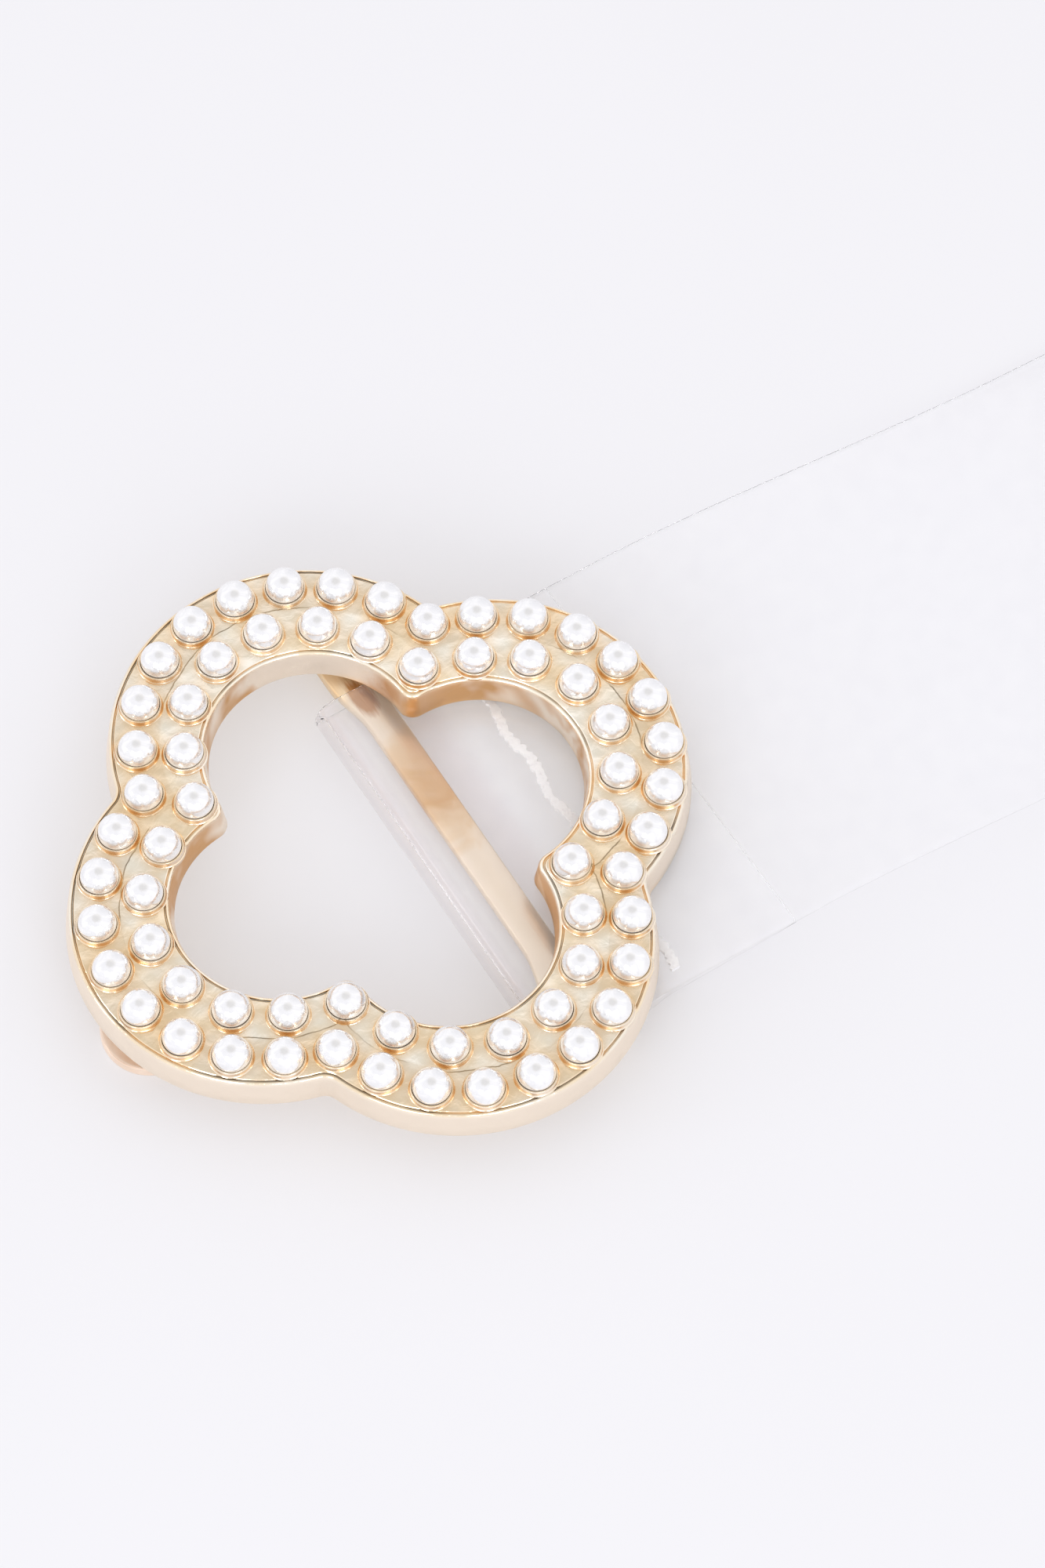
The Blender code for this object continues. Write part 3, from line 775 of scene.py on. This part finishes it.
def bar_line():
    """The staple's centre line from leg to leg: each point's y and z, and its way along y and z."""
    leg_steps = 2
    bend_steps = 8
    span_steps = 60
    leg_y = BAR_HALF_SPAN - BAR_THICK / 2.0
    middle_z = bar_low.z + BAR_THICK / 2.0
    bend_z = middle_z + BAR_BEND
    bend_y = leg_y - BAR_BEND
    leg_rise = bar_high.z - bend_z
    line = []
    for i in range(leg_steps + 1):
        line.append((-leg_y, bar_high.z - leg_rise * i / leg_steps, 0.0, -1.0))
    for i in range(1, bend_steps + 1):
        angle = math.radians(90) * i / bend_steps
        line.append((-bend_y - BAR_BEND * math.cos(angle), bend_z - BAR_BEND * math.sin(angle),
                     math.sin(angle), -math.cos(angle)))
    for i in range(1, span_steps):
        line.append((-bend_y + 2.0 * bend_y * i / span_steps, middle_z, 1.0, 0.0))
    for i in range(bend_steps):
        angle = math.radians(90) * (bend_steps - i) / bend_steps
        line.append((bend_y + BAR_BEND * math.cos(angle), bend_z - BAR_BEND * math.sin(angle),
                     math.sin(angle), math.cos(angle)))
    for i in range(leg_steps + 1):
        line.append((leg_y, bend_z + leg_rise * i / leg_steps, 0.0, 1.0))
    return line


def bar_mesh():
    """The strip swept along its staple-shaped centre line, with its long edges chamfered."""
    bm = bmesh.new()
    half = BAR_THICK / 2.0
    edge = BAR_EDGE
    rows = []
    for y, z, way_y, way_z in bar_line():
        wide = bar_half_width(y)
        section = (
            (-wide, -half + edge), (-wide + edge, -half), (wide - edge, -half), (wide, -half + edge),
            (wide, half - edge), (wide - edge, half), (-wide + edge, half), (-wide, half - edge),
        )
        rows.append([bm.verts.new((x, y - way_z * n, z + way_y * n)) for x, n in section])
    for row, after in zip(rows, rows[1:]):
        bridge(bm, row, after)
    bm.faces.new(rows[0])
    bm.faces.new(rows[-1])
    return bm


bar = make_mesh_object("strap_bar", bar_mesh(), bar_material, smooth_angle=50)
bar_place = Matrix.Translation((bar_middle.x, bar_middle.y, 0.0))
bar.data.transform(bar_place @ Matrix.Rotation(BAR_TURN, 4, 'Z'))
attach(bar, "buckle")
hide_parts("centre_bar")


# ---- Hook stud ----------------------------------------------------------------------------------
# A brass button turned on a lathe, with fine rings round its rim and face, a narrow neck and a
# broad base soldered behind the lobe.  A punched hole in the strap's free end snaps over it.
stud_low, stud_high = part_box("hook_stud")
stud_middle = (stud_low + stud_high) / 2.0
STUD_SIDES = 72
STUD_HEAD = (stud_high.x - stud_low.x) / 2.0
STUD_HEAD_THICK = 1.4 * MM
STUD_NECK = 1.6 * MM
STUD_BASE = 2.8 * MM
STUD_BASE_THICK = 0.5 * MM
STUD_DIMPLE = 0.06 * MM
FACE_RINGS = (0.25, 0.45, 0.65, 0.82)
FACE_RING_HALF = 0.12 * MM
FACE_RING_DEPTH = 0.05 * MM
RIM_RINGS = 5
RIM_MARGIN = 0.2 * MM
RIM_RING_DEPTH = 0.08 * MM
# Steps in millimetres, a radius and a height from the edge that each list is named for
FACE_EDGE_STEPS = ((-0.3, 0.0), (-0.1, 0.06))
HEAD_BACK_STEPS = ((-0.1, -0.05), (-0.25, 0.0))
NECK_START_STEPS = ((0.3, 0.0), (0.05, 0.08), (0.0, 0.3))
NECK_END_STEPS = ((0.0, -0.25), (0.08, -0.05), (0.3, 0.0))
BASE_EDGE_STEPS = ((-0.1, 0.0), (0.0, 0.1))


def steps_from(radius, height, steps):
    return [(radius + out * MM, height + up * MM) for out, up in steps]


def stud_profile():
    """The lathe's cut as (radius, height), from the middle of the face round to the base's back."""
    profile = [(0.0, STUD_DIMPLE)]
    for share in FACE_RINGS:
        radius = STUD_HEAD * share
        profile += [(radius - FACE_RING_HALF, 0.0), (radius, FACE_RING_DEPTH),
                    (radius + FACE_RING_HALF, 0.0)]
    profile += steps_from(STUD_HEAD, 0.0, FACE_EDGE_STEPS)
    pitch = (STUD_HEAD_THICK - 2.0 * RIM_MARGIN) / RIM_RINGS
    for i in range(RIM_RINGS):
        height = RIM_MARGIN + pitch * i
        profile += [(STUD_HEAD, height + 0.2 * pitch), (STUD_HEAD, height + 0.6 * pitch),
                    (STUD_HEAD - RIM_RING_DEPTH, height + 0.8 * pitch)]
    profile += steps_from(STUD_HEAD, STUD_HEAD_THICK, HEAD_BACK_STEPS)
    profile += steps_from(STUD_NECK, STUD_HEAD_THICK, NECK_START_STEPS)
    base_low = stud_high.z - STUD_BASE_THICK
    profile += steps_from(STUD_NECK, base_low, NECK_END_STEPS)
    profile += steps_from(STUD_BASE, base_low, BASE_EDGE_STEPS)
    return profile + [(STUD_BASE, stud_high.z), (0.0, stud_high.z)]


def stud_mesh():
    """The lathe's cut turned full circle, closed by a fan of faces at each end of the axis."""
    bm = bmesh.new()
    rings = []
    for radius, height in stud_profile():
        sides = STUD_SIDES if radius > 0.0 else 1
        circle = [on_circle(radius, math.tau * i / STUD_SIDES) for i in range(sides)]
        rings.append([bm.verts.new((p.x, p.y, height)) for p in circle])
    for lower, upper in zip(rings, rings[1:]):
        if len(lower) == len(upper):
            bridge(bm, lower, upper)
            continue
        tip, loop = sorted((lower, upper), key=len)
        for i in range(STUD_SIDES):
            bm.faces.new((tip[0], loop[i], loop[(i + 1) % STUD_SIDES]))
    return bm


BRASS_DARK = (0.86, 0.68, 0.54)
BRASS_LIGHT = (0.96, 0.83, 0.72)
stud_material, nodes, links, shader = new_material("turned_brass", metallic=1.0, roughness=0.36)
where = nodes.new("ShaderNodeTexCoord").outputs["Object"]
tarnished = mottled(nodes, links, where, 300.0, BRASS_DARK, BRASS_LIGHT, span=(0.3, 0.7))
links.new(tarnished, shader.inputs["Base Color"])
lathe = nodes.new("ShaderNodeMapping")
lathe.inputs["Scale"].default_value = (0.2, 0.2, 6.0)
links.new(where, lathe.inputs["Vector"])
scratches = grained(nodes, links, lathe.outputs["Vector"], scale=2500.0, detail=3.0,
                    strength=0.3, distance=0.02 * MM)
links.new(scratches["Normal"], shader.inputs["Normal"])

stud = make_mesh_object("hook_button", stud_mesh(), stud_material, smooth_angle=35)
stud.data.transform(Matrix.Translation((stud_middle.x, stud_middle.y, 0.0)))
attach(stud, "buckle")
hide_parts("hook_stud")


# ---- Strap --------------------------------------------------------------------------------------
# One band of clear soft vinyl, 38 mm wide and 1 mm thick, folded under the bar and welded to
# itself.  It runs on over the doubled end and settles down onto the table.
STRAP_THICK = 1.0 * MM
STRAP_WIDTH = 38.0 * MM
STRAP_SHIFT = -4.1 * MM
UPPER_BOTTOM = 2.8 * MM
LOWER_MIDDLE = STRAP_THICK / 2.0
UPPER_MIDDLE = UPPER_BOTTOM + STRAP_THICK / 2.0
FOLD_SKEW = math.radians(-0.5)
FOLD_TIP_X = 2.0 * MM
TAIL_END_X = 25.9 * MM
TAIL_END_SLOPE = -0.023
TAIL_GAP = 0.25 * MM
TAIL_RISE_START_X = 9.6 * MM
TAIL_RISE_END_X = 14.4 * MM
FLEX_X = 29.6 * MM
RUNNING_GAP = 0.3 * MM
HINGE_X = FLEX_X + RUNNING_GAP + STRAP_THICK / 2.0
HINGE_HALF = 3.0 * MM
BAND_TURN = math.radians(-2.0)
BAND_LENGTH = 50.0 * MM
BAND_FALL_START = 1.5 * MM
BAND_FALL_LENGTH = 40.0 * MM
EDGE_ROUND = 0.42 * MM
EDGE_STEPS = 5
CUT_END_SHARE = 0.4
STRAP_COLUMNS = 24


def strap_line():
    """Centre line of the band seen along the bar: (x, z), from the cut tail round to the far end."""
    tail_steps = 8
    rise_steps = 12
    fold_steps = 32
    band_steps = 90
    tail_middle = UPPER_MIDDLE - STRAP_THICK - TAIL_GAP
    fold_radius = (UPPER_MIDDLE - LOWER_MIDDLE) / 2.0
    fold_x = FOLD_TIP_X + STRAP_THICK / 2.0 + fold_radius
    line = []
    for i in range(tail_steps):
        line.append((TAIL_END_X + (TAIL_RISE_END_X - TAIL_END_X) * i / tail_steps, tail_middle))
    for i in range(rise_steps + 1):
        share = i / rise_steps
        line.append((TAIL_RISE_END_X + (TAIL_RISE_START_X - TAIL_RISE_END_X) * share,
                     tail_middle + (LOWER_MIDDLE - tail_middle) * ease(share)))
    for i in range(fold_steps + 1):
        round_fold = on_circle(fold_radius, math.radians(-90 - 180 * i / fold_steps),
                               fold_x, LOWER_MIDDLE + fold_radius)
        line.append((round_fold.x, round_fold.y))
    band_end = HINGE_X + BAND_LENGTH
    fall_start = HINGE_X + BAND_FALL_START
    for i in range(1, band_steps + 1):
        x = fold_x + (band_end - fold_x) * i / band_steps
        line.append((x, UPPER_MIDDLE - UPPER_BOTTOM * ease((x - fall_start) / BAND_FALL_LENGTH)))
    return line


def strap_section():
    """The band's cross-section as (across, up): rounded edges, and corners along both flats."""
    flat_half = STRAP_WIDTH / 2.0 - EDGE_ROUND
    half = STRAP_THICK / 2.0
    section = []
    for side, face, first_turn in ((-1, -1, 180), (1, -1, 270), (1, 1, 0), (-1, 1, 90)):
        for k in range(EDGE_STEPS + 1):
            angle = math.radians(first_turn + 90.0 * k / EDGE_STEPS)
            section.append((side * flat_half + EDGE_ROUND * math.cos(angle),
                            face * (half - EDGE_ROUND) + EDGE_ROUND * math.sin(angle)))
        if side == face:
            for k in range(1, STRAP_COLUMNS):
                section.append((side * flat_half * (1.0 - 2.0 * k / STRAP_COLUMNS), side * half))
    return section


def strap_mesh():
    """The band's section swept along its centre line, skewed by the fold and turned at the hinge."""
    line = strap_line()
    section = strap_section()
    runs = [0.0]
    for here, after in zip(line, line[1:]):
        runs.append(runs[-1] + math.hypot(after[0] - here[0], after[1] - here[1]))
    tip = min(range(len(line)), key=lambda i: line[i][0])
    last = len(line) - 1
    hinge_y = STRAP_SHIFT + (FLEX_X - FOLD_TIP_X) * math.tan(FOLD_SKEW)
    bm = bmesh.new()
    rows = []
    for i, (x, z) in enumerate(line):
        before, after = line[max(i - 1, 0)], line[min(i + 1, last)]
        step = Vector((after[0] - before[0], after[1] - before[1])).normalized()
        thinning = CUT_END_SHARE if i in (0, last) else 1.0
        skew = (runs[i] - runs[tip]) * math.tan(FOLD_SKEW)
        turn = BAND_TURN * ease((x - HINGE_X + HINGE_HALF) / (2.0 * HINGE_HALF))
        row = []
        for across, up in section:
            point_x = x - step.y * up * thinning
            point_y = STRAP_SHIFT + skew + across
            point_z = z + step.x * up * thinning
            if i == 0:
                point_x += across * TAIL_END_SLOPE
            if i > tip and x > HINGE_X - HINGE_HALF:
                beyond = point_x - HINGE_X
                point_x = HINGE_X + beyond * math.cos(turn) - across * math.sin(turn)
                point_y = hinge_y + beyond * math.sin(turn) + across * math.cos(turn)
            row.append(bm.verts.new((point_x, point_y, point_z)))
        rows.append(row)
    for row, after in zip(rows, rows[1:]):
        bridge(bm, row, after)
    bm.faces.new(rows[0])
    bm.faces.new(rows[-1])
    return bm


VINYL_CLEAR = (1.0, 1.0, 1.0)
VINYL_HAZE = (0.975, 0.975, 0.98)
vinyl_material, nodes, links, shader = new_material("clear_vinyl", metallic=0.0, roughness=0.04)
where = nodes.new("ShaderNodeTexCoord").outputs["Object"]
hazy_vinyl = mottled(nodes, links, where, 500.0, VINYL_HAZE, VINYL_CLEAR, span=(0.3, 0.7))

# Painted shade greys and lilacs the band over the fold and beside the bar, and a painted highlight
# keeps one pale line clear along the fold's crest
FOLD_SHADE_REACH = 10.0 * MM
FOLD_LILAC_SHADE = (0.97, 0.96, 0.975)
FOLD_ROSE_SHADE = (0.972, 0.955, 0.957)
from_ring = vector_node(nodes, links, 'SUBTRACT', where, ring_middle)
across_bar = (math.cos(BAR_TURN), math.sin(BAR_TURN), 0.0)
past_bar = vector_node(nodes, links, 'DOT_PRODUCT', from_ring, across_bar)
past_tip = range_node(nodes, links, past_bar, FOLD_TIP_X, FOLD_TIP_X + FOLD_SHADE_REACH)
fold_shade_and_highlight = ramp_node(nodes, links, past_tip,
                      [(0.0, FOLD_ROSE_SHADE), (0.17, FOLD_ROSE_SHADE), (0.21, VINYL_CLEAR),
                       (0.28, VINYL_CLEAR), (0.33, FOLD_LILAC_SHADE), (0.85, FOLD_ROSE_SHADE),
                       (1.0, VINYL_CLEAR)])
links.new(mix_node(nodes, links, 1.0, hazy_vinyl, fold_shade_and_highlight, 'MULTIPLY'), shader.inputs["Base Color"])
shader.inputs["Transmission Weight"].default_value = 0.95
shader.inputs["IOR"].default_value = 1.12
shader.inputs["Coat Weight"].default_value = 1.0
shader.inputs["Coat Roughness"].default_value = 0.16
ripples = grained(nodes, links, where, scale=90.0, detail=2.0, strength=0.06,
                  distance=0.1 * MM)
links.new(ripples["Normal"], shader.inputs["Normal"])

# Lamps shine through the flat of the band, and its cut edges throw a soft shadow
EDGE_PASS = (0.75, 0.74, 0.77)
FLAT_PASS = (0.985, 0.985, 0.99)
surface_way = nodes.new("ShaderNodeNewGeometry").outputs["Normal"]
flatness = math_node(nodes, links, 'ABSOLUTE', axis_node(nodes, links, surface_way, "Z"))
lamp_pass = nodes.new("ShaderNodeBsdfTransparent")
pass_colour = ramp_node(nodes, links, flatness, [(0.1, EDGE_PASS), (0.8, FLAT_PASS)])
links.new(pass_colour, lamp_pass.inputs["Color"])
ray = nodes.new("ShaderNodeLightPath").outputs
soft_light = math_node(nodes, links, 'MAXIMUM', ray["Is Shadow Ray"], ray["Is Diffuse Ray"])
lamp_mix = nodes.new("ShaderNodeMixShader")
links.new(soft_light, lamp_mix.inputs["Fac"])
links.new(shader.outputs["BSDF"], lamp_mix.inputs[1])
links.new(lamp_pass.outputs["BSDF"], lamp_mix.inputs[2])
links.new(lamp_mix.outputs["Shader"], nodes["Material Output"].inputs["Surface"])

strap_place = Matrix.Translation(ring_middle) @ Matrix.Rotation(BAR_TURN, 4, 'Z')
strap = make_mesh_object("vinyl_strap", strap_mesh(), vinyl_material, smooth_angle=40)
strap.data.transform(strap_place)
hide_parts("strap_fold", "strap_band")
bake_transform(strap)


# ---- Weld ---------------------------------------------------------------------------------------
# The two layers are fused along one line beside the bar by a hot bar press.  The melted vinyl set
# full of small bubbles, so the line shows as an uneven, crackled white seam.
WELD_X = 15.2 * MM
WELD_INSET = 1.5 * MM
WELD_STEPS = 150
WELD_WANDER = 0.25 * MM
WELD_WAVE = 0.21
WELD_REACH = (0.24 * MM, 0.56 * MM)
WELD_SINK = 0.06 * MM
WELD_RISE = 0.12 * MM
WELD_RAGGED = 0.06 * MM
WELD_SEED = 3
weld_draw = random.Random(WELD_SEED)


def weld_mesh():
    """A ribbon of uneven width and height between the layers, from edge to edge of the strap."""
    low = UPPER_BOTTOM - TAIL_GAP - WELD_SINK
    high = UPPER_BOTTOM + WELD_RISE
    length = STRAP_WIDTH - 2.0 * WELD_INSET
    bm = bmesh.new()
    rows = []
    for i in range(WELD_STEPS + 1):
        y = STRAP_SHIFT - length / 2.0 + length * i / WELD_STEPS
        wander = WELD_WANDER * math.sin(i * WELD_WAVE)
        left = wander - weld_draw.uniform(*WELD_REACH)
        right = wander + weld_draw.uniform(*WELD_REACH)
        crest = high - weld_draw.uniform(0.0, WELD_RAGGED)
        section = ((left, low), (right, low), (right, crest), (wander, high), (left, crest))
        rows.append([bm.verts.new((WELD_X + x, y, z)) for x, z in section])
    for row, after in zip(rows, rows[1:]):
        bridge(bm, row, after)
    bm.faces.new(rows[0])
    bm.faces.new(rows[-1])
    return bm


WELD_GREY = (0.88, 0.87, 0.88)
WELD_WHITE = (0.99, 0.99, 0.99)
weld_material, nodes, links, shader = new_material("melted_vinyl", metallic=0.0, roughness=0.35)
where = nodes.new("ShaderNodeTexCoord").outputs["Object"]
bubbled = mottled(nodes, links, where, 2600.0, WELD_GREY, WELD_WHITE, span=(0.32, 0.5),
                  roughness=0.7)
links.new(bubbled, shader.inputs["Base Color"])
crackled = grained(nodes, links, where, scale=2600.0, detail=3.0, strength=0.6,
                   distance=0.05 * MM, roughness=0.7)
links.new(crackled["Normal"], shader.inputs["Normal"])
shader.inputs["Transmission Weight"].default_value = 0.05
shader.inputs["Coat Weight"].default_value = 0.5
weld = make_mesh_object("weld_seam", weld_mesh(), weld_material, smooth_angle=20)
weld.data.transform(strap_place)
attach(weld, "buckle")
